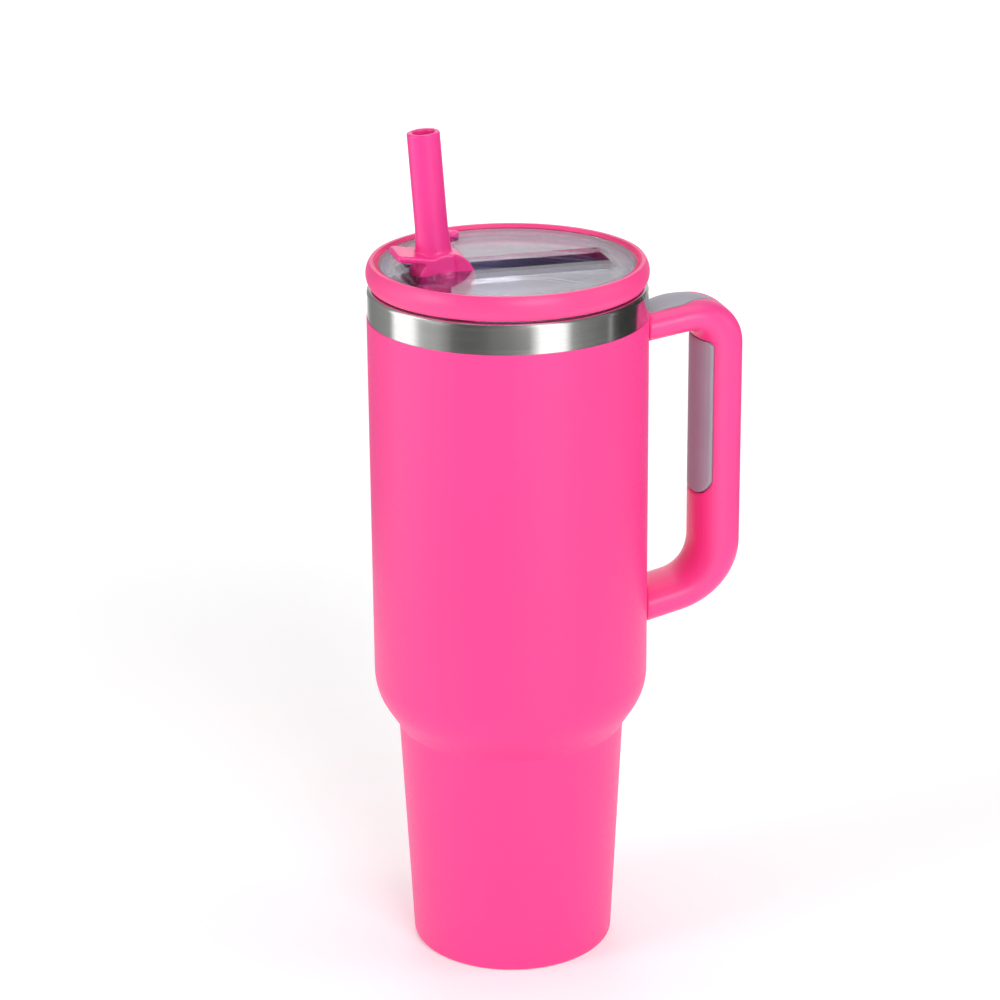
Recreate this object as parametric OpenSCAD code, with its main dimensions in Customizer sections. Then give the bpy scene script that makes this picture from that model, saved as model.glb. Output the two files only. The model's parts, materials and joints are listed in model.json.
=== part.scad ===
// Insulated tumbler with a push-in lid, a folding spout, a long straw and a side handle.
// Millimetres. +Z is up, the origin is the middle of the foot, the handle is on +X.

/* [Cup] */
// Outside diameter of the wide upper body
body_d = 100; // [92:1:122]
// Outside diameter of the foot, before its edge is rounded
foot_d = 74; // [60:1:78]
// Outside diameter at the neck, above the part that fits a cup holder
neck_d = 82.7; // [80:0.1:90]
// Height of the neck
neck_z = 87.4; // [60:0.1:100]
// Height of the cup's steel rim
rim_z = 253; // [210:1:310]
// Height of the bare steel band under the rim
band_h = 10.9; // [6:0.1:16]
// Lean of the shoulder from the vertical
shoulder_angle = 32.6; // [24:0.1:45]
// Radius that turns the shoulder into the upper body
shoulder_r = 23; // [10:1:28]
// Radius in the corner of the neck
neck_r = 2.5; // [1:0.1:6]
// Radius of the foot's edge
foot_r = 2.5; // [2:0.1:5]

/* [Walls] */
// Thickness of the coat on the outer wall
coat_t = 0.25; // [0.15:0.05:0.4]
// Thickness of the steel walls
steel_t = 0.5; // [0.4:0.1:1]
// Width of the vacuum gap between the walls
vacuum_gap = 2.6; // [1.5:0.1:4]
// Radius that rounds the rim over
rim_r = 1.6; // [1:0.1:2.2]
// Depth of the recess under the foot
foot_recess = 2.6; // [1.5:0.1:5]
// Width of the ring that the foot stands on
foot_ring_w = 1.7; // [1:0.1:4]
// Radius inside the bottom of the cup
floor_r = 9; // [5:0.5:14]
// Diameter of the getter tablet in the vacuum gap
getter_d = 14; // [8:1:20]
// Diameter of the hole through which the gap is pumped out
seal_hole_d = 5; // [3:0.5:8]

/* [Handle] */
// Width of the handle
handle_w = 25; // [18:0.5:30]
// Distance from the cup's side to the middle of the grip
grip_gap = 26.95; // [26:0.05:45]
// Thickness of the grip
grip_t = 17.5; // [14:0.1:20.5]
// Thickness of the upper arm
upper_t = 11.6; // [11:0.1:16]
// Thickness of the lower arm
lower_t = 13.4; // [12:0.1:17]
// Height at which the upper arm's middle meets the body
upper_z = 234.8; // [190:0.1:290]
// Height at which the lower arm's middle meets the body
lower_z = 128.9; // [124:0.1:150]
// Slope of the upper arm, rising outwards
upper_slope = 9; // [0:0.5:14]
// Slope of the lower arm, rising outwards
lower_slope = 13; // [0:0.5:18]
// Radius of the handle's middle line in the upper corner
upper_bend = 10.5; // [9:0.5:14]
// Radius of the handle's middle line in the lower corner
lower_bend = 20; // [12:0.5:21]
// Width over which the handle rounds off on the side of the cup
inner_round = 12; // [4:0.1:12.5]
// Width over which the handle rounds off on the side away from the cup
outer_round = 8; // [4:0.1:12.5]
// Share of the handle's half thickness that is rounded off
round_share = 0.92; // [0.5:0.01:0.95]
// Width of the grey pad on the inside of the grip
grip_pad_w = 22; // [14:0.1:23]
// Height of the grip pad's lower end
grip_pad_z = 170; // [160:0.5:190]
// Depth of the grip pad behind the grip's crest
grip_pad_t = 6.2; // [5:0.1:7]
// Radius of the grip pad's lower corners
pad_corner = 7; // [3:0.5:8]
// Width of the thumb pad on the upper arm
thumb_pad_w = 14; // [8:0.1:15]
// Height of the thumb pad's crown above the arm
thumb_pad_h = 1.5; // [1:0.1:2]
// Depth of the thumb pad in the arm
thumb_pad_t = 2.4; // [1.5:0.1:2.8]
// Width of the steel tongues inside the arms
tongue_w = 14; // [10:0.5:16]
// Thickness of the steel tongues
tongue_t = 3; // [2:0.1:4]
// Reach of the steel tongues into the arms
tongue_l = 14; // [11:0.5:16]
// Diameter of the handle's screws
screw_d = 4; // [3:0.5:5]
// Diameter of the screws' heads
screw_head_d = 6.8; // [5.5:0.1:8]

/* [Lid] */
// Height of the clear window above the rim
window_h = 8.4; // [7:0.1:12]
// Thickness of the clear window
window_t = 2.5; // [2:0.1:3]
// Width of the pink ring that shows around the window
ring_w = 4.55; // [3.5:0.05:6]
// Height of the ring's crest above the window
crest_h = 0.9; // [0.4:0.1:1.5]
// Gap between the rim and the ring
ring_gap = 0.7; // [0.4:0.1:1.5]
// Depth of the plug in the cup, below the rim
plug_h = 12; // [11:0.5:20]
// Thickness of the plug's wall
plug_t = 2.4; // [2:0.1:3]
// Gap between the plug and the cup's inner wall
plug_gap = 1.5; // [1:0.1:2.5]
// Height of the gasket
gasket_h = 4; // [3:0.1:6]
// Thickness of the clear walls of the groove and the socket
clear_t = 2.2; // [1.6:0.1:2.4]
// Width of the groove that the folded spout lies in
groove_w = 17.3; // [14:0.1:19]
// Reach of the groove from the lid's axis
groove_x = 35; // [32:0.5:36]
// Finger space under the folded spout
groove_spare = 3; // [1:0.5:4]
// Reach of the finger recess behind the spout, from the lid's axis
recess_x = 36.3; // [35.5:0.1:37]
// Width of the finger recess
recess_w = 24; // [20:0.5:26]
// Depth of the finger recess
recess_h = 3; // [2:0.1:4]
// Distance of the vent plug from the lid's axis
vent_x = 40; // [36:0.1:40]
// Bearing of the vent plug from the handle, seen from above
vent_angle = 106; // [90:1:120]
// Diameter of the vent plug's head
vent_d = 5.6; // [5:0.1:6]

/* [Spout] */
// Outside diameter of the spout's tube
spout_d = 11.6; // [9:0.1:14]
// Wall of the spout's tube
spout_t = 2; // [1.5:0.1:2.5]
// Length of the tube from its hinge to its tip
spout_l = 53; // [44:0.5:55]
// Length of the tube's flared foot, from its hinge
flare_l = 19; // [14:0.5:26]
// How far the flared foot widens all round, where it meets the drum
flare_out = 0.9; // [0:0.1:1.5]
// Distance from the lid's axis to the spout's hinge
hinge_x = 23.3; // [22:0.1:24]
// Depth of the hinge below the window
hinge_depth = 4.4; // [3:0.1:5]
// Distance of the tube's axis from the hinge
tube_offset = 2.6; // [1:0.1:3.5]
// Lean of the standing spout, away from the handle
spout_lean = 4; // [0:0.5:10]
// Diameter of the drum that turns in the socket
drum_d = 21; // [17:0.1:21.4]
// Width of the drum
drum_w = 13; // [10:0.1:14]
// Diameter of the hinge pins
pin_d = 5.2; // [3.5:0.1:6.5]
// Gap all round the drum
drum_gap = 0.8; // [0.5:0.1:1]
// Length of the thumb tab, from the hinge
tab_l = 17.6; // [15:0.1:19]
// Gap on each side of the thumb tab when it stands in the groove
tab_gap = 0.8; // [0.4:0.1:2]
// Thickness of the thumb tab
tab_t = 2.3; // [1.5:0.1:3]
// Slope of the thumb tab
tab_slope = 9; // [0:1:14]
// Height of the thumb tab's underside above the hinge, where it joins the tube
tab_z = 6.2; // [5:0.1:8]

/* [Straw] */
// Outside diameter of the straw
straw_d = 9.6; // [8:0.1:11]
// Wall of the straw
straw_t = 1.2; // [0.8:0.1:1.4]
// Gap between the straw and the bottom of the cup
straw_gap = 5; // [3:0.5:20]
// Length of straw pushed onto the lid's nipple
straw_grip = 12; // [8:0.5:16]

/* [Hidden] */
$fn = 96;

// Fits
seat_fit = 0.05;      // pieces that are pushed together
hinge_fit = 0.05;     // running clearance of the hinge pins, on the radius
free_gap = 0.35;      // between pieces that pass each other
cut = 1;              // how far a cutter runs past the face it cuts

// Cup
body_r = body_d / 2;
shell_in = coat_t;
shell_back = shell_in + steel_t;
liner_out = shell_back + vacuum_gap;
liner_in = liner_out + steel_t;
mouth_r = body_r - liner_in;
coat_z = 0.6;
coat_top = rim_z - band_h;
base_t = 0.8;
liner_z = foot_recess + base_t + 3.2;
cup_floor = liner_z + steel_t;
taper = atan((neck_d - foot_d) / 2 / neck_z);
neck_mid = (shoulder_angle + taper) / 2;
neck_miter = neck_r / cos((shoulder_angle - taper) / 2);
neck_c = [neck_d / 2 + neck_miter * cos(neck_mid), neck_z - neck_miter * sin(neck_mid)];
cone_l = (body_r - neck_d / 2 - shoulder_r * (1 - cos(shoulder_angle))) / sin(shoulder_angle);
shoulder_c = [body_r - shoulder_r,
              neck_z + cone_l * cos(shoulder_angle) + shoulder_r * sin(shoulder_angle)];
foot_inner_r = foot_d / 2 - foot_r - foot_ring_w;

// Handle
grip_x = body_r + grip_gap;
arm_start = body_r - 4;
upper_start = [arm_start, upper_z - 4 * tan(upper_slope)];
upper_corner = [grip_x, upper_start.y + (grip_x - arm_start) * tan(upper_slope)];
lower_start = [arm_start, lower_z - 4 * tan(lower_slope)];
lower_corner = [grip_x, lower_start.y + (grip_x - arm_start) * tan(lower_slope)];
arm_gap = 0.1;
screw_x = body_r + 8;
thumb_pad_x = grip_x - 1.5;
thumb_crest_x = body_r + 13.5;
thumb_dome_r = 16;
thumb_arch_r = 30;
plug_t_screw = 1.2;
head_h = 2.2;

// Lid
window_z = rim_z + window_h;
window_r = body_r + 0.05 - ring_w;
ring_z = rim_z + ring_gap;
plug_r = mouth_r - plug_gap;
plug_z = rim_z - plug_h;
gasket_z = rim_z - 7;

// Spout, socket and straw
hinge = [-hinge_x, 0, window_z - hinge_depth];
spout_r = spout_d / 2;
bore_r = spout_r - spout_t;
flare_z = 6;
tab_w = groove_w - 2 * tab_gap;
drum_r = drum_d / 2;
socket_r = drum_r + drum_gap;
socket_z = hinge.z - socket_r;
seal_r = bore_r + 2.4;
seal_z = socket_z - 1.8;
nipple_z = seal_z - 1.6;
groove_z = hinge.z + tube_offset - spout_r - groove_spare;
straw_x = -hinge_x - tube_offset / cos(spout_lean) + socket_r * tan(spout_lean);
straw_bore_r = straw_d / 2 - straw_t;
nipple_bore_r = straw_bore_r - 1.2;

// ---- Outlines ----

function arc(c, r, from, to, n) =
    [for (i = [0:n]) let (a = from + (to - from) * i / n) c + r * [cos(a), sin(a)]];

// The lower corner of the cup's side, moved in by inset and standing on z
function foot_arc(inset, z, r) =
    arc([foot_d / 2 + (z + r) * tan(taper) - (inset + r) / cos(taper), z + r], r, -90, -taper, 8);

// The cup's side from the neck up, moved in by inset
function side(inset, top) = concat(
    arc(neck_c, neck_r + inset, 180 - taper, 180 - shoulder_angle, 4),
    arc(shoulder_c, shoulder_r - inset, -shoulder_angle, 0, 16),
    [[body_r - inset, top]]);

module cup_outline(inset, z, r, top)
    polygon(concat([[0, z]], foot_arc(inset, z, r), side(inset, top), [[0, top]]));

module ring_band(from, to) ring_band_inside(from, to, 2 * body_r);
module ring_band_inside(from, to, r) translate([0, from]) square([r, to - from]);

// ---- Cup ----

// The outer wall, turned under at the foot and rolled over at the rim
module outer_shell() color("silver") rotate_extrude($fn = 128) {
    difference() {
        intersection() {
            cup_outline(shell_in, 0, foot_r - shell_in, rim_z);
            union() {
                ring_band(0, rim_z - rim_r);
                square([body_r - shell_in - rim_r, rim_z]);
                translate([body_r - shell_in - rim_r, rim_z - rim_r]) circle(rim_r);
            }
        }
        cup_outline(shell_back, steel_t, foot_r - shell_back, rim_z - steel_t);
        square([foot_inner_r, foot_recess + base_t]);
        ring_band_inside(rim_z - 2 * steel_t, rim_z + cut, body_r - shell_in - rim_r);
    }
}

module powder_coat() color("deeppink") difference() {
    rotate_extrude($fn = 128) intersection() {
        difference() {
            cup_outline(0, 0, foot_r, coat_top);
            cup_outline(shell_in, 0, foot_r - shell_in, coat_top + cut);
        }
        ring_band(coat_z, coat_top);
    }
    bracket_slot(upper_z);
    bracket_slot(lower_z);
}

module inner_liner() color("silver") rotate_extrude($fn = 128) {
    difference() {
        union() {
            cup_outline(liner_out, liner_z, floor_r + steel_t, rim_z);
            translate([0, rim_z - steel_t]) square([body_r - shell_in - rim_r, steel_t]);
        }
        cup_outline(liner_in, cup_floor, floor_r, rim_z + cut);
    }
}

// The base plate, with a collar welded inside the foot
module outer_base() color("gray") rotate_extrude($fn = 128) {
    translate([seal_hole_d / 2, foot_recess])
        square([foot_inner_r - seal_hole_d / 2, base_t]);
    translate([foot_inner_r - base_t, coat_z])
        square([base_t, foot_recess + base_t - coat_z]);
}

module getter() color("dimgray")
    translate([foot_inner_r / 2, 0, foot_recess + base_t]) {
        cylinder(d = getter_d, h = 0.6, $fn = 48);
        cylinder(d = getter_d * 0.7, h = 1.2, $fn = 48);
    }

module vacuum_seal() color("darkslategray") translate([0, 0, foot_recess]) {
    cylinder(d = seal_hole_d, h = base_t, $fn = 48);
    translate([0, 0, base_t]) cylinder(d = seal_hole_d + 3, h = 0.6, $fn = 48);
}

// ---- Handle ----

function toward_cup(a) = [sin(a), -cos(a)];
function ease(a, b, u) = a + (b - a) * (1 - cos(180 * u)) / 2;

// A station is the middle of a section, its direction and half its thickness
function leg(p, q, a, from, to, n) =
    [for (i = [0:n]) [p + (q - p) * i / n, a, ease(from, to, i / n)]];
function bend(c, r, a, b, from, to, n) =
    [for (i = [1:n - 1]) let (d = a + (b - a) * i / n)
        [c - r * toward_cup(d), d, ease(from, to, i / n)]];

// How far a bend of radius r starts from a corner that turns by this angle
function setback(r, turn) = r * tan(turn / 2);

upper_back = setback(upper_bend, 90 + upper_slope);
lower_back = setback(lower_bend, 90 - lower_slope);
upper_dir = [cos(upper_slope), sin(upper_slope)];
lower_dir = [-cos(lower_slope), -sin(lower_slope)];
grip_top = upper_corner - [0, upper_back];
grip_low = lower_corner + [0, lower_back];

handle_path = concat(
    leg(upper_start, upper_corner - upper_back * upper_dir, upper_slope,
        upper_t / 2, upper_t / 2, 4),
    bend(grip_top - [upper_bend, 0], upper_bend, upper_slope, -90, upper_t / 2, grip_t / 2, 16),
    leg(grip_top, grip_low, -90, grip_t / 2, grip_t / 2, 4),
    bend(grip_low - [lower_bend, 0], lower_bend, -90, lower_slope - 180,
         grip_t / 2, lower_t / 2, 16),
    leg(lower_corner + lower_back * lower_dir, lower_start, lower_slope - 180,
        lower_t / 2, lower_t / 2, 4));

function quarter(c, rx, ry, from) =
    [for (i = [0:8]) let (a = from + 90 * i / 8) c + [rx * cos(a), ry * sin(a)]];

// A section across the bar: an oval that is flatter towards the cup, which is +x here
function section(half) =
    let (d = half * round_share, x = half - d,
         near = handle_w / 2 - inner_round, far = handle_w / 2 - outer_round)
    concat(quarter([x, near], d, inner_round, 0), quarter([-x, far], d, outer_round, 90),
           quarter([-x, -far], d, outer_round, 180), quarter([x, -near], d, inner_round, 270));

module handle_bar() {
    rings = [for (s = handle_path) let (n = toward_cup(s[1]))
        [for (p = section(s[2])) [s[0].x + p.x * n.x, p.y, s[0].y + p.x * n.y]]];
    sides = len(rings[0]);
    last = (len(rings) - 1) * sides;
    polyhedron(
        points = [for (ring = rings) each ring],
        faces = concat(
            [[for (k = [0:sides - 1]) k]],
            [for (i = [0:len(rings) - 2], k = [0:sides - 1])
                let (a = i * sides + k, b = i * sides + (k + 1) % sides)
                [a, a + sides, b + sides, b]],
            [[for (k = [sides - 1:-1:0]) last + k]]));
}

// The thumb pad seen from above: parallel sides that sweep together to a tip
module thumb_outline() {
    straight = body_r + 11;
    swept = [for (i = [0:12]) let (u = i / 12)
        [straight + (thumb_pad_x - straight) * u, ease(thumb_pad_w / 2, 1.5, u)]];
    polygon(concat([[arm_start, thumb_pad_w / 2]], swept,
        [for (i = [12:-1:0]) [swept[i].x, -swept[i].y]], [[arm_start, -thumb_pad_w / 2]]));
}

module thumb_space() {
    floor_z = upper_z + upper_t / 2 - thumb_pad_t + 1;
    translate([0, 0, floor_z]) linear_extrude(2 * upper_t) thumb_outline();
}

// The pad's crowned top, arched along the arm and across it
module thumb_dome() {
    arm_top = upper_z + (thumb_crest_x - body_r) * tan(upper_slope) + upper_t / 2 / cos(upper_slope);
    translate([thumb_crest_x, 0, arm_top + thumb_pad_h - thumb_arch_r]) rotate([90, 0, 0])
        rotate_extrude() intersection() {
            translate([thumb_arch_r - thumb_dome_r, 0]) circle(thumb_dome_r);
            translate([0, -thumb_dome_r]) square([thumb_arch_r, 2 * thumb_dome_r]);
        }
}

// A rectangle between two corners, with its own corners rounded
module round_rect(low, high, r) {
    size = high - low;
    translate([low.x + r, low.y]) square([size.x - 2 * r, size.y]);
    translate([low.x, low.y + r]) square([size.x, size.y - 2 * r]);
    for (x = [low.x + r, high.x - r], y = [low.y + r, high.y - r])
        translate([x, y]) circle(r, $fn = 48);
}

// The grip pad seen from the cup, cut outwards from the grip's inner face
module grip_slot(grow) {
    w = grip_pad_w / 2 + grow;
    top = grip_top.y + 1.5 + grow;
    translate([grip_x - grip_t / 2 - cut, 0, 0]) rotate([90, 0, 90])
        linear_extrude(cut + grip_pad_t) {
            round_rect([-w, grip_pad_z - grow], [w, top - pad_corner], pad_corner + grow);
            round_rect([-w, grip_pad_z + 2 * pad_corner], [w, top], 2 + grow);
        }
}

module tongue_block(z, grow) {
    rise = (tongue_l / 2) * tan(z == upper_z ? upper_slope : lower_slope);
    translate([body_r - 4, -tongue_w / 2 - grow, z + rise - tongue_t / 2 - grow])
        cube([4 + tongue_l + grow, tongue_w + 2 * grow, tongue_t + 2 * grow]);
}

module bracket_slot(z) tongue_block(z, 0);

module bracket(z) color("silver") difference() {
    tongue_block(z, 0);
    cylinder(r = body_r - shell_in, h = rim_z, $fn = 128);
    translate([screw_x, 0, 0]) cylinder(d = screw_d + 2 * seat_fit, h = rim_z, $fn = 48);
}

module upper_bracket() bracket(upper_z);
module lower_bracket() bracket(lower_z);

// The height of an arm's underside where its screw goes in
function screw_z(z, slope, t) = z + 8 * tan(slope) - t / 2 / cos(slope);
screw_heights = [screw_z(upper_z, upper_slope, upper_t), screw_z(lower_z, lower_slope, lower_t)];
tongue_tops = [for (s = [[upper_z, upper_slope], [lower_z, lower_slope]])
    s[0] + tongue_l / 2 * tan(s[1]) + tongue_t / 2];

module screw_space(i) translate([screw_x, 0, 0]) {
    translate([0, 0, screw_heights[i] - 2])
        cylinder(d = screw_head_d + 2 * seat_fit, h = 2 + plug_t_screw + head_h, $fn = 48);
    translate([0, 0, screw_heights[i]])
        cylinder(d = screw_d + 2 * seat_fit, h = tongue_tops[i] + 1.2 - screw_heights[i], $fn = 48);
}

module handle() color("deeppink") difference() {
    handle_bar();
    cylinder(r = body_r + arm_gap, h = rim_z, $fn = 128);
    tongue_block(upper_z, seat_fit);
    tongue_block(lower_z, seat_fit);
    screw_space(0);
    screw_space(1);
    thumb_space();
    grip_slot(free_gap);
}

module thumb_pad() color("slategray") difference() {
    intersection() {
        thumb_dome();
        thumb_space();
    }
    cylinder(r = body_r + arm_gap, h = rim_z, $fn = 128);
}

module grip_pad() color("slategray") intersection() {
    handle_bar();
    grip_slot(0);
}

module handle_screws() color("silver") for (i = [0:1])
    translate([screw_x, 0, screw_heights[i] + plug_t_screw]) difference() {
        union() {
            cylinder(d = screw_head_d, h = head_h, $fn = 48);
            cylinder(d = screw_d, h = tongue_tops[i] + 0.8 - screw_heights[i] - plug_t_screw, $fn = 48);
        }
        translate([0, 0, -cut]) cylinder(d = screw_d * 0.6, h = cut + head_h / 2, $fn = 6);
    }

module screw_plugs() color("deeppink") for (z = screw_heights)
    translate([screw_x, 0, z - 0.2])
        cylinder(d = screw_head_d, h = plug_t_screw, $fn = 48);

// ---- Lid ----

// The ring's section: flat under, round outside, a low crest, and a ledge for the window
module ring_section() {
    out = body_r + 0.05;
    crest_x = window_r + 1.5;
    mid_z = ring_z + 4.3;
    difference() {
        union() {
            intersection() {
                translate([out - 7, mid_z]) circle(7);
                translate([crest_x, ring_z]) square([10, window_z + crest_h - ring_z]);
            }
            translate([plug_r + seat_fit, ring_z])
                square([crest_x - plug_r - seat_fit, window_z + crest_h - ring_z]);
        }
        translate([0, window_z - window_t]) square([window_r + seat_fit, window_t + crest_h + cut]);
        translate([window_r, window_z + crest_h])
            rotate(-atan(crest_h / 1.4)) translate([-2, -crest_h * 0.84]) square([3.5, 2]);
    }
}

module lid_ring() color("deeppink") rotate_extrude($fn = 128) ring_section();

// The space that the drum, the folded spout and a fingertip need, cut from the window down
module socket_space(grow) {
    w = groove_w + 2 * grow;
    r = socket_r + grow;
    top = window_z + (grow > 0 ? -window_t : cut);
    translate([hinge.x, w / 2, hinge.z]) rotate([90, 0, 0]) cylinder(r = r, h = w);
    translate([hinge.x - r, -w / 2, hinge.z]) cube([2 * r, w, top - hinge.z]);
    translate([hinge.x, -w / 2, groove_z - grow])
        cube([groove_x + grow - hinge.x, w, top - groove_z + grow]);
    translate([-recess_x - grow, -w / 2, window_z - recess_h - grow])
        cube([recess_x + grow + hinge.x, w, top - window_z + recess_h + grow]);
    translate([0, 0, window_z - recess_h - grow])
        linear_extrude(top - window_z + recess_h + grow) recess_outline(grow);
}

// The finger recess seen from above: a wide slot with round corners
module recess_outline(grow)
    round_rect([-recess_x - grow, -recess_w / 2 - grow], [-recess_x + 9 + grow, recess_w / 2 + grow], 4);

module vent_place(z) rotate([0, 0, vent_angle]) translate([vent_x, 0, z]) children();

module lid_top() color("lightsteelblue") difference() {
    union() {
        translate([0, 0, window_z - window_t]) cylinder(r = window_r, h = window_t, $fn = 128);
        intersection() {
            socket_space(clear_t);
            cylinder(r = window_r, h = window_z - window_t / 2);
        }
        translate([straw_x, 0, nipple_z]) cylinder(r = seal_r + clear_t, h = hinge.z - nipple_z);
        translate([straw_x, 0, nipple_z - straw_grip])
            cylinder(r = straw_bore_r - seat_fit, h = straw_grip + cut, $fn = 64);
    }
    socket_space(0);
    translate([hinge.x, groove_w / 2 + clear_t + cut, hinge.z]) rotate([90, 0, 0])
        cylinder(r = pin_d / 2 + hinge_fit, h = groove_w + 2 * clear_t + 2 * cut, $fn = 64);
    translate([straw_x, 0, seal_z]) cylinder(r = seal_r + seat_fit, h = socket_r, $fn = 64);
    translate([straw_x, 0, nipple_z - straw_grip - cut])
        cylinder(r = nipple_bore_r, h = straw_grip + socket_r, $fn = 64);
    vent_place(window_z - window_t - cut)
        cylinder(d = vent_d / 2 + 2 * seat_fit, h = window_t + 2 * cut, $fn = 48);
}

// The clear wall that goes into the cup, with a groove for the gasket
module lid_plug() color("lightsteelblue") rotate_extrude($fn = 128) difference() {
    translate([plug_r - plug_t, plug_z]) square([plug_t, window_z - window_t - plug_z]);
    translate([plug_r - plug_t / 2, gasket_z]) square([plug_t, gasket_h]);
}

// A silicone ring with two soft lips that reach for the cup's wall
module lid_gasket() color("gainsboro") rotate_extrude($fn = 128) {
    back = plug_r - plug_t / 2;
    lip = mouth_r - free_gap;
    translate([back, gasket_z]) square([plug_t / 2 + 0.3, gasket_h]);
    for (z = [gasket_z + 0.5, gasket_z + gasket_h - 1.3])
        polygon([[back, z], [lip, z + 0.5], [lip, z + 0.9], [back, z + 0.8]]);
}

module vent_plug() color("deeppink") vent_place(0) {
    translate([0, 0, window_z]) cylinder(d = vent_d, h = 1.4, $fn = 48);
    translate([0, 0, window_z + 1.4]) cylinder(d = vent_d * 0.7, h = 0.5, $fn = 48);
    translate([0, 0, window_z - window_t - 1]) cylinder(d = vent_d / 2, h = window_t + 1.5, $fn = 48);
    translate([0, 0, window_z - window_t - 1]) cylinder(d = vent_d / 2 + 1.2, h = 1, $fn = 48);
}

// The silicone seat under the drum, hollowed to the drum's curve
module spout_seal() color("hotpink") difference() {
    translate([straw_x, 0, seal_z]) cylinder(r = seal_r, h = drum_r / 2, $fn = 64);
    translate([hinge.x, groove_w, hinge.z]) rotate([90, 0, 0])
        cylinder(r = drum_r + free_gap, h = 2 * groove_w);
    translate([straw_x, 0, seal_z - cut]) cylinder(r = bore_r, h = drum_r, $fn = 64);
}

module straw() color("hotpink") {
    low = cup_floor + straw_gap;
    translate([straw_x, 0, 0]) difference() {
        translate([0, 0, low]) cylinder(d = straw_d, h = nipple_z - low, $fn = 64);
        translate([0, 0, low - cut]) cylinder(r = straw_bore_r, h = nipple_z, $fn = 64);
        translate([-straw_d, -straw_d, low - straw_d]) rotate([0, -30, 0])
            cube([2 * straw_d, 2 * straw_d, straw_d]);
    }
}

// ---- Spout ----

// Places its children at the hinge, leaning as the open spout does
module at_hinge() translate(hinge) rotate([0, -spout_lean, 0]) children();

module drum(r, w) translate([0, w / 2, 0]) rotate([90, 0, 0]) cylinder(r = r, h = w);

// The drum is as wide as the tab behind the tube's front, and narrower ahead of it
module drum_cheeks() intersection() {
    drum(drum_r, tab_w);
    translate([-drum_d, -tab_w, -drum_d])
        cube([drum_d + spout_r - tube_offset, 2 * tab_w, 2 * drum_d]);
}

// The tab for the thumb, which reaches from the tube over the finger recess
module spout_tab()
    translate([0, 0, tab_z]) rotate([0, spout_lean + tab_slope, 0])
        linear_extrude(tab_t) round_rect([-tab_l, -tab_w / 2], [spout_r - tube_offset, tab_w / 2], 1.4);

module spout() color("deeppink") at_hinge() difference() {
    union() {
        translate([-tube_offset, 0, 0]) cylinder(r = spout_r, h = spout_l, $fn = 64);
        translate([-tube_offset, 0, flare_z])
            cylinder(r1 = spout_r + flare_out, r2 = spout_r, h = flare_l - flare_z, $fn = 64);
        drum(drum_r, drum_w);
        drum_cheeks();
        drum(pin_d / 2 + 1, groove_w - 2 * free_gap);
        drum(pin_d / 2, groove_w + 2 * clear_t - 0.4);
        spout_tab();
    }
    translate([-tube_offset, 0, -drum_d]) cylinder(r = bore_r, h = spout_l + 2 * drum_d, $fn = 64);
}

outer_shell();
powder_coat();
inner_liner();
outer_base();
getter();
vacuum_seal();
upper_bracket();
lower_bracket();
handle();
thumb_pad();
grip_pad();
handle_screws();
screw_plugs();
lid_ring();
lid_top();
lid_plug();
lid_gasket();
vent_plug();
spout_seal();
straw();
spout();
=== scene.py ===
"""The insulated tumbler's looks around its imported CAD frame: materials, skins, light and camera."""
import json
import math

import bmesh
import bpy
from mathutils import Matrix, Vector


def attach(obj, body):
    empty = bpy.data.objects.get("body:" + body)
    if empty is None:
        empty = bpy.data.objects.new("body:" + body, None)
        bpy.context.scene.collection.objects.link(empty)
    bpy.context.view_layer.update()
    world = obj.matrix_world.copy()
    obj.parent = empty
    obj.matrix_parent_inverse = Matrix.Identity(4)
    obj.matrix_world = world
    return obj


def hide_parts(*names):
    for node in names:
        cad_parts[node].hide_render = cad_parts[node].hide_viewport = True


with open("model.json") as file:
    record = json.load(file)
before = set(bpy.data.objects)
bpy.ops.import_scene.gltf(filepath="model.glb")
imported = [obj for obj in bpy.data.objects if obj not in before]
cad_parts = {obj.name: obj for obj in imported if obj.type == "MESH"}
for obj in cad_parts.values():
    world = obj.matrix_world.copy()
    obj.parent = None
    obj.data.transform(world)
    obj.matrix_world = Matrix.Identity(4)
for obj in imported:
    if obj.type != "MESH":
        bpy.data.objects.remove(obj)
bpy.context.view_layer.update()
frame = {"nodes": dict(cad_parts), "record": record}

MM = 0.001
NODES = frame["nodes"]
RECORD = frame["record"]
BODY_OF = {node: body for body, members in RECORD["behaviour"]["bodies"].items() for node in members}
SLOT_OF = {part["node"]: part["material_slot"] for part in RECORD["subparts"]}

# ---- Camera: metres and radians ----

HANDLE_TURN = math.radians(14.5)    # how far the handle is turned away from the camera
CAMERA_BACK = 1.050                 # level distance from the cup's axis
CAMERA_UP = 0.55413                 # height above the table
CAMERA_PITCH = 0.3490               # how far it looks down
CAMERA_YAW = -0.0032                # how far it looks past the cup's axis, positive to the right
CAMERA_ROLL = -0.0089               # how far it leans
CAMERA_LENS = 111.36                # millimetres, on a sensor of the width below
SENSOR_WIDTH = 36
CAMERA_FAR = 20                     # how far the camera sees


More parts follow.
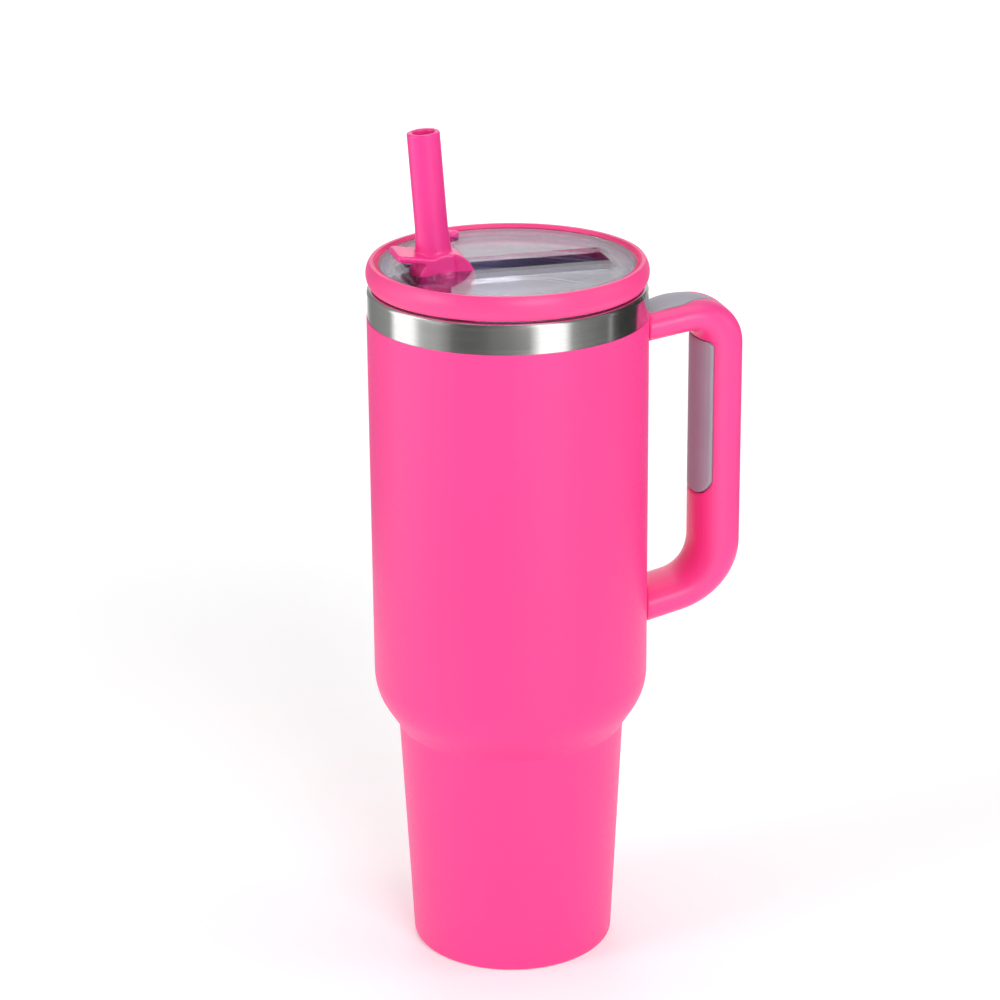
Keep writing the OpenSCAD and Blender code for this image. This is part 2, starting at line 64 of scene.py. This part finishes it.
def add_camera():
    """A camera in front of the cup, with the handle to its right."""
    yaw = CAMERA_YAW + HANDLE_TURN
    level = math.cos(CAMERA_PITCH)
    forward = Vector((math.sin(yaw) * level, math.cos(yaw) * level, -math.sin(CAMERA_PITCH)))
    right = Vector((math.cos(yaw), -math.sin(yaw), 0))
    up = right.cross(forward)
    turned_right = math.cos(CAMERA_ROLL) * right + math.sin(CAMERA_ROLL) * up
    turned_up = -math.sin(CAMERA_ROLL) * right + math.cos(CAMERA_ROLL) * up
    data = bpy.data.cameras.new("camera")
    data.lens = CAMERA_LENS
    data.sensor_width = SENSOR_WIDTH
    data.clip_end = CAMERA_FAR
    camera = bpy.data.objects.new("camera", data)
    place = Vector((-CAMERA_BACK * math.sin(HANDLE_TURN), -CAMERA_BACK * math.cos(HANDLE_TURN),
                    CAMERA_UP))
    axes = Matrix((turned_right, turned_up, -forward)).transposed().to_4x4()
    camera.matrix_world = Matrix.Translation(place) @ axes
    bpy.context.scene.collection.objects.link(camera)
    bpy.context.scene.camera = camera


add_camera()
bpy.context.scene.view_settings.view_transform = "Standard"


# ---- Material building blocks ----

NOISE_LOW, NOISE_HIGH = 0.3, 0.7    # the range that a noise texture mostly stays in


class Look:
    """A material with one Principled shader, and the few node chains that the looks below share."""

    def __init__(self, name, colour, roughness, **sockets):
        self.material = bpy.data.materials.new(name)
        self.material.use_nodes = True
        self.nodes = self.material.node_tree.nodes
        self.links = self.material.node_tree.links
        self.shader = self.nodes["Principled BSDF"]
        self.colour = colour
        self.roughness = roughness
        self.shader.inputs["Base Color"].default_value = (*colour, 1)
        self.shader.inputs["Roughness"].default_value = roughness
        for socket, value in sockets.items():
            self.shader.inputs[socket.replace("_", " ")].default_value = value
        self.normal = None

    def link(self, source, target):
        self.links.new(source, target)

    def coordinates(self, stretch=(1, 1, 1)):
        place = self.nodes.new("ShaderNodeTexCoord")
        mapping = self.nodes.new("ShaderNodeMapping")
        mapping.inputs["Scale"].default_value = stretch
        self.link(place.outputs["Object"], mapping.inputs["Vector"])
        return mapping.outputs["Vector"]

    def turned_coordinates(self, around, along):
        """Coordinates that follow a lathe's marks: stretched around the axis, tight along it."""
        place = self.nodes.new("ShaderNodeTexCoord")
        parts = self.nodes.new("ShaderNodeSeparateXYZ")
        self.link(place.outputs["Object"], parts.inputs["Vector"])
        x, y, z = (parts.outputs[axis] for axis in "XYZ")
        bearing = self.math("ARCTAN2", y, x)
        reach = self.math("POWER", self.math("ADD", self.math("MULTIPLY", x, x),
                                             self.math("MULTIPLY", y, y)), 0.5)
        joined = self.nodes.new("ShaderNodeCombineXYZ")
        self.link(self.math("MULTIPLY", bearing, around), joined.inputs["X"])
        self.link(self.math("MULTIPLY", reach, along), joined.inputs["Y"])
        self.link(self.math("MULTIPLY", z, along), joined.inputs["Z"])
        return joined.outputs["Vector"]

    def math(self, operation, a, b):
        """One sum, whose two terms are numbers or other nodes' outputs."""
        node = self.nodes.new("ShaderNodeMath")
        node.operation = operation
        for value, socket in zip((a, b), node.inputs):
            if isinstance(value, (int, float)):
                socket.default_value = value
            else:
                self.link(value, socket)
        return node.outputs["Value"]

    def noise(self, scale, detail, vector=None):
        node = self.nodes.new("ShaderNodeTexNoise")
        node.inputs["Scale"].default_value = scale
        node.inputs["Detail"].default_value = detail
        self.link(vector if vector else self.coordinates(), node.inputs["Vector"])
        return node.outputs["Fac"]

    def spread(self, source, low, high):
        """Maps the middle of a noise's range to low and high."""
        node = self.nodes.new("ShaderNodeMapRange")
        node.inputs["From Min"].default_value = NOISE_LOW
        node.inputs["From Max"].default_value = NOISE_HIGH
        node.inputs["To Min"].default_value = low
        node.inputs["To Max"].default_value = high
        self.link(source, node.inputs["Value"])
        return node.outputs["Result"]

    def vary_colour(self, source, darker, lighter):
        """Shades the base colour between two factors."""
        node = self.nodes.new("ShaderNodeMix")
        node.data_type = "RGBA"
        node.inputs["A"].default_value = (*[c * darker for c in self.colour], 1)
        node.inputs["B"].default_value = (*[min(1, c * lighter) for c in self.colour], 1)
        self.link(self.spread(source, 0, 1), node.inputs["Factor"])
        self.link(node.outputs["Result"], self.shader.inputs["Base Color"])

    def vary_roughness(self, source, by):
        """Moves the roughness up and down by the same amount."""
        result = self.spread(source, self.roughness - by, self.roughness + by)
        self.link(result, self.shader.inputs["Roughness"])

    def bump(self, source, depth):
        """Adds a relief of this depth, in metres, on top of the ones before it."""
        node = self.nodes.new("ShaderNodeBump")
        node.inputs["Strength"].default_value = 1.0
        node.inputs["Distance"].default_value = depth
        self.link(source, node.inputs["Height"])
        if self.normal is not None:
            self.link(self.normal, node.inputs["Normal"])
        self.normal = node.outputs["Normal"]
        self.link(self.normal, self.shader.inputs["Normal"])

    def tangent_around(self):
        """Turns the shader's streaks to run around the part's axis."""
        node = self.nodes.new("ShaderNodeTangent")
        node.direction_type = "RADIAL"
        node.axis = "Z"
        self.link(node.outputs["Tangent"], self.shader.inputs["Tangent"])


# ---- The materials: a noise's scale is the number of its marks in a metre ----

def powder_coat_look():
    """Satin powder coat: a fine orange peel, the grain of the powder and faint clouds of colour."""
    look = Look("pink_powder_coat", (0.95, 0.042, 0.275), 0.42, Specular_IOR_Level=0.5)
    look.vary_colour(look.noise(scale=9, detail=3), darker=0.97, lighter=1.03)
    look.vary_roughness(look.noise(scale=700, detail=3), by=0.05)
    look.bump(look.noise(scale=420, detail=2), depth=0.022 * MM)
    look.bump(look.noise(scale=2600, detail=2), depth=0.008 * MM)
    return look.material


def moulded_look(name, colour, roughness, grain):
    """Moulded plastic with a spark-eroded grain and faint flow marks."""
    look = Look(name, colour, roughness, Specular_IOR_Level=0.5, Subsurface_Weight=0.06,
                Subsurface_Scale=0.002)
    flow = look.noise(scale=26, detail=3, vector=look.coordinates((1, 1, 0.35)))
    look.vary_colour(flow, darker=0.97, lighter=1.03)
    look.vary_roughness(look.noise(scale=1100, detail=3), by=0.05)
    look.bump(look.noise(scale=1500, detail=3), depth=grain)
    look.bump(look.noise(scale=110, detail=2), depth=0.02 * MM)
    return look.material


def turned_steel_look(name, colour, roughness, grain):
    """Steel finished on a lathe: fine rings around the axis, which stretch every reflection upwards."""
    look = Look(name, colour, roughness, Metallic=1.0, Anisotropic=0.85, Anisotropic_Rotation=0.25)
    fine = look.turned_coordinates(around=1.2, along=5200)
    coarse = look.turned_coordinates(around=0.5, along=900)
    look.vary_colour(look.noise(scale=1, detail=3, vector=fine), darker=0.93, lighter=1.05)
    look.vary_roughness(look.noise(scale=1, detail=2, vector=coarse), by=0.03)
    look.bump(look.noise(scale=1, detail=2, vector=fine), depth=grain)
    look.tangent_around()
    return look.material


def plain_steel_look(name, colour, roughness):
    """Bare steel or sintered metal, a little uneven."""
    look = Look(name, colour, roughness, Metallic=1.0)
    look.vary_colour(look.noise(scale=220, detail=3), darker=0.9, lighter=1.05)
    look.vary_roughness(look.noise(scale=900, detail=3), by=0.06)
    look.bump(look.noise(scale=1600, detail=3), depth=0.01 * MM)
    return look.material


def soft_pad_look():
    """Soft grey rubber with a dry, fine grain."""
    look = Look("soft_grey_pad", (0.36, 0.37, 0.42), 0.55, Sheen_Weight=0.15, Sheen_Roughness=0.4)
    look.vary_colour(look.noise(scale=40, detail=3), darker=0.95, lighter=1.05)
    look.vary_roughness(look.noise(scale=1400, detail=2), by=0.06)
    look.bump(look.noise(scale=1900, detail=3), depth=0.02 * MM)
    return look.material


def clear_look():
    """Clear moulded plastic with a cool tint, faint flow ripples and a polished skin."""
    look = Look("clear_plastic", (0.78, 0.75, 1.0), 0.035, Alpha=0.6, Transmission_Weight=1.0, IOR=1.49,
                Specular_IOR_Level=0.5)
    look.vary_roughness(look.noise(scale=60, detail=3), by=0.02)
    look.bump(look.noise(scale=24, detail=2), depth=0.03 * MM)
    return look.material


def silicone_look(name, colour, transmission):
    """Soft silicone: matt and slightly cloudy, pink right through or letting light pass."""
    look = Look(name, colour, 0.48, Transmission_Weight=transmission, IOR=1.41, Subsurface_Weight=0.2,
                Subsurface_Scale=0.002)
    look.vary_colour(look.noise(scale=60, detail=3), darker=0.96, lighter=1.03)
    look.vary_roughness(look.noise(scale=900, detail=3), by=0.06)
    look.bump(look.noise(scale=1300, detail=2), depth=0.012 * MM)
    return look.material


def straw_look():
    """Extruded pink plastic, slightly cloudy, with fine lines along its length."""
    look = Look("pink_straw_plastic", (0.96, 0.10, 0.38), 0.3, IOR=1.49, Subsurface_Weight=0.2,
                Subsurface_Scale=0.002)
    streaks = look.noise(scale=1, detail=2, vector=look.coordinates((900, 900, 12)))
    lines = look.noise(scale=1, detail=2, vector=look.coordinates((1400, 1400, 20)))
    look.vary_colour(streaks, darker=0.95, lighter=1.04)
    look.vary_roughness(look.noise(scale=500, detail=2), by=0.04)
    look.bump(lines, depth=0.01 * MM)
    return look.material


LOOKS = {
    "brushed_band": turned_steel_look("turned_band", (0.62, 0.62, 0.61), 0.17, 0.0015 * MM),
    "inner_steel": turned_steel_look("turned_inner", (0.60, 0.60, 0.60), 0.30, 0.008 * MM),
    "screw_steel": plain_steel_look("screw_steel", (0.55, 0.55, 0.56), 0.32),
    "getter_metal": plain_steel_look("getter_metal", (0.20, 0.20, 0.21), 0.55),
    "pink_coat": powder_coat_look(),
    "pink_handle": moulded_look("pink_handle_plastic", (0.95, 0.058, 0.30), 0.36, 0.010 * MM),
    "pink_lid": moulded_look("pink_lid_plastic", (0.94, 0.055, 0.265), 0.40, 0.008 * MM),
    "pink_spout": moulded_look("pink_spout_plastic", (0.93, 0.032, 0.29), 0.34, 0.006 * MM),
    "pink_straw": straw_look(),
    "pink_silicone": silicone_look("pink_silicone", (0.93, 0.07, 0.34), 0.0),
    "grey_pad": soft_pad_look(),
    "clear_lid": clear_look(),
    "clear_silicone": silicone_look("clear_silicone", (0.86, 0.86, 0.90), 0.75),
}


def dress_cad_nodes():
    """Gives every CAD node the look of its slot."""
    for node, slot in SLOT_OF.items():
        mesh = NODES[node].data
        mesh.materials.clear()
        mesh.materials.append(LOOKS[slot])


dress_cad_nodes()


# ---- Pieces that replace their CAD nodes ----

WELD = 0.002        # millimetres between corners that are joined
SMOOTHING = 0.5     # how far each round moves a corner towards its neighbours

# Node, name of its piece, size of the skin's mesh in millimetres, rounds of smoothing
SKINS = [("spout", "spout_body", 0.36, 10),
         ("handle", "handle_shell", 0.55, 5),
         ("thumb_pad", "thumb_pad_soft", 0.3, 5),
         ("grip_pad", "grip_pad_soft", 0.35, 5),
         ("vent_plug", "vent_plug_soft", 0.2, 5),
         ("screw_plugs", "screw_plugs_soft", 0.22, 4)]


def welded_copy(node):
    """The CAD node's mesh with its split edges joined again."""
    work = bmesh.new()
    work.from_mesh(NODES[node].data)
    bmesh.ops.remove_doubles(work, verts=work.verts, dist=WELD * MM)
    mesh = bpy.data.meshes.new(node + "_work")
    work.to_mesh(mesh)
    work.free()
    return mesh


def applied(piece):
    """Gives the piece the mesh that its modifiers make, and drops them."""
    depsgraph = bpy.context.evaluated_depsgraph_get()
    mesh = bpy.data.meshes.new_from_object(piece.evaluated_get(depsgraph))
    piece.modifiers.clear()
    piece.data = mesh


def finish_piece(piece, node):
    """The new piece takes its node's place: the same body and the look of the node's slot, with the node
    hidden.
    """
    for polygon in piece.data.polygons:
        polygon.use_smooth = True
    piece.data.materials.clear()
    piece.data.materials.append(LOOKS[SLOT_OF[node]])
    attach(piece, BODY_OF[node])
    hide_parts(node)


def skinned(node, name, voxel, rounds):
    """A moulded skin over a CAD node: an even mesh whose edges and corners are softened by smoothing."""
    piece = bpy.data.objects.new(name, welded_copy(node))
    bpy.context.scene.collection.objects.link(piece)
    skin = piece.modifiers.new("skin", "REMESH")
    skin.mode = "VOXEL"
    skin.voxel_size = voxel * MM
    skin.use_smooth_shade = True
    soften = piece.modifiers.new("soften", "SMOOTH")
    soften.factor = SMOOTHING
    soften.iterations = rounds
    applied(piece)
    finish_piece(piece, node)


for skin_of in SKINS:
    skinned(*skin_of)


# ---- Studio: lengths in metres, powers in watts ----

WORLD_LIGHT = 0.22
FLOOR_HALF = 6.0
FLOOR_GLOW_NEAR = (0.3, 0.22)       # distance from the cup, and how strongly the floor glows there
FLOOR_GLOW_FAR = (2.0, 0.85)

# Name, place, point that it faces, width and height, power
LAMPS = [("front", (0.25, -1.9, 1.15), (0, 0, 0.15), (1.0, 1.1), 21),
         ("right", (1.7, -0.6, 0.9), (0, 0, 0.15), (0.8, 1.1), 7),
         ("left", (-1.7, -0.35, 0.7), (0, 0, 0.15), (0.7, 1.1), 12),
         ("behind", (0.3, 1.8, 0.9), (0, 0, 0.15), (0.9, 0.9), 6),
         ("top", (0.1, 0.2, 1.7), (0, 0, 0.2), (1.2, 1.2), 8)]

# Bearing of a card from the camera's side, in degrees, positive to the right, and its brightness
CARDS = [(-180, 1.5), (-165, 1.1), (-150, 0.35), (-140, 0.28), (-105, 0.40), (-99, 1.7), (-79, 1.65),
         (-72, 0.62), (-66, 0.46), (-56, 0.38), (-48, 0.30), (-42, 0.16), (-34, 0.13), (-20, 0.14),
         (-10, 0.22), (0, 0.25), (16, 0.36), (21, 1.0), (25, 1.7), (44, 1.7), (50, 0.45), (58, 0.30),
         (76, 0.18), (84, 0.15), (87, 0.5), (90, 0.12), (98, 0.05), (137, 0.05), (150, 0.6), (180, 1.5)]
CARD_REACH = 0.42
CARD_HEIGHT = 0.75
CARD_SIDES = 96


def add_area(name, place, aim, size, power):
    """A rectangular lamp that faces a point."""
    data = bpy.data.lights.new(name, "AREA")
    data.shape = "RECTANGLE"
    data.size, data.size_y = size
    data.energy = power
    lamp = bpy.data.objects.new(name, data)
    lamp.location = place
    lamp.rotation_euler = (Vector(aim) - Vector(place)).to_track_quat("-Z", "Y").to_euler()
    bpy.context.scene.collection.objects.link(lamp)


def add_floor():
    """A pale floor that glows more with the distance, so that it ends in white."""
    mesh = bpy.data.meshes.new("floor")
    half = FLOOR_HALF
    corners = [(-half, -half, 0), (half, -half, 0), (half, half, 0), (-half, half, 0)]
    mesh.from_pydata(corners, [], [(0, 1, 2, 3)])
    floor = bpy.data.objects.new("floor", mesh)
    bpy.context.scene.collection.objects.link(floor)
    look = Look("floor", (0.93, 0.93, 0.93), 0.85, Emission_Color=(1, 1, 1, 1))
    look.vary_colour(look.noise(scale=3, detail=2), darker=0.995, lighter=1.005)
    distance = look.nodes.new("ShaderNodeVectorMath")
    distance.operation = "LENGTH"
    look.link(look.coordinates(), distance.inputs[0])
    glow = look.nodes.new("ShaderNodeMapRange")
    glow.inputs["From Min"].default_value, glow.inputs["To Min"].default_value = FLOOR_GLOW_NEAR
    glow.inputs["From Max"].default_value, glow.inputs["To Max"].default_value = FLOOR_GLOW_FAR
    look.link(distance.outputs["Value"], glow.inputs["Value"])
    look.link(glow.outputs["Result"], look.shader.inputs["Emission Strength"])
    mesh.materials.append(look.material)


def add_cards():
    """A ring of bright and dark cards around the cup, seen only in its reflections."""
    sides = CARD_SIDES
    mesh = bpy.data.meshes.new("cards")
    turns = [2 * math.pi * i / sides for i in range(sides)]
    corners = [(CARD_REACH * math.cos(turn), CARD_REACH * math.sin(turn), z)
               for z in (0.0, CARD_HEIGHT) for turn in turns]
    walls = [(i, (i + 1) % sides, sides + (i + 1) % sides, sides + i) for i in range(sides)]
    mesh.from_pydata(corners, [], walls)
    cards = bpy.data.objects.new("cards", mesh)
    cards.rotation_euler = (0, 0, -math.pi / 2 - HANDLE_TURN)
    bpy.context.scene.collection.objects.link(cards)
    material = bpy.data.materials.new("cards")
    material.use_nodes = True
    nodes = material.node_tree.nodes
    links = material.node_tree.links
    nodes.remove(nodes["Principled BSDF"])
    place = nodes.new("ShaderNodeTexCoord")
    parts = nodes.new("ShaderNodeSeparateXYZ")
    bearing = nodes.new("ShaderNodeMath")
    bearing.operation = "ARCTAN2"
    share = nodes.new("ShaderNodeMapRange")
    share.inputs["From Min"].default_value = -math.pi
    share.inputs["From Max"].default_value = math.pi
    ramp = nodes.new("ShaderNodeValToRGB")
    stops = ramp.color_ramp.elements
    while len(stops) < len(CARDS):
        stops.new(0.5)
    for stop, (degrees, light) in zip(stops, CARDS):
        stop.position = (degrees + 180) / 360
        stop.color = (light, light, light, 1)
    glow = nodes.new("ShaderNodeEmission")
    links.new(place.outputs["Object"], parts.inputs["Vector"])
    links.new(parts.outputs["Y"], bearing.inputs[0])
    links.new(parts.outputs["X"], bearing.inputs[1])
    links.new(bearing.outputs["Value"], share.inputs["Value"])
    links.new(share.outputs["Result"], ramp.inputs["Fac"])
    links.new(ramp.outputs["Color"], glow.inputs["Color"])
    links.new(glow.outputs["Emission"], nodes["Material Output"].inputs["Surface"])
    mesh.materials.append(material)
    cards.visible_camera = False
    cards.visible_diffuse = False
    cards.visible_transmission = False
    cards.visible_shadow = False
    cards.visible_volume_scatter = False


def add_world():
    """Plain white light from all round."""
    world = bpy.data.worlds.new("studio")
    world.use_nodes = True
    background = world.node_tree.nodes["Background"]
    background.inputs["Color"].default_value = (1, 1, 1, 1)
    background.inputs["Strength"].default_value = WORLD_LIGHT
    bpy.context.scene.world = world


add_world()
add_floor()
add_cards()
for lamp in LAMPS:
    add_area(*lamp)
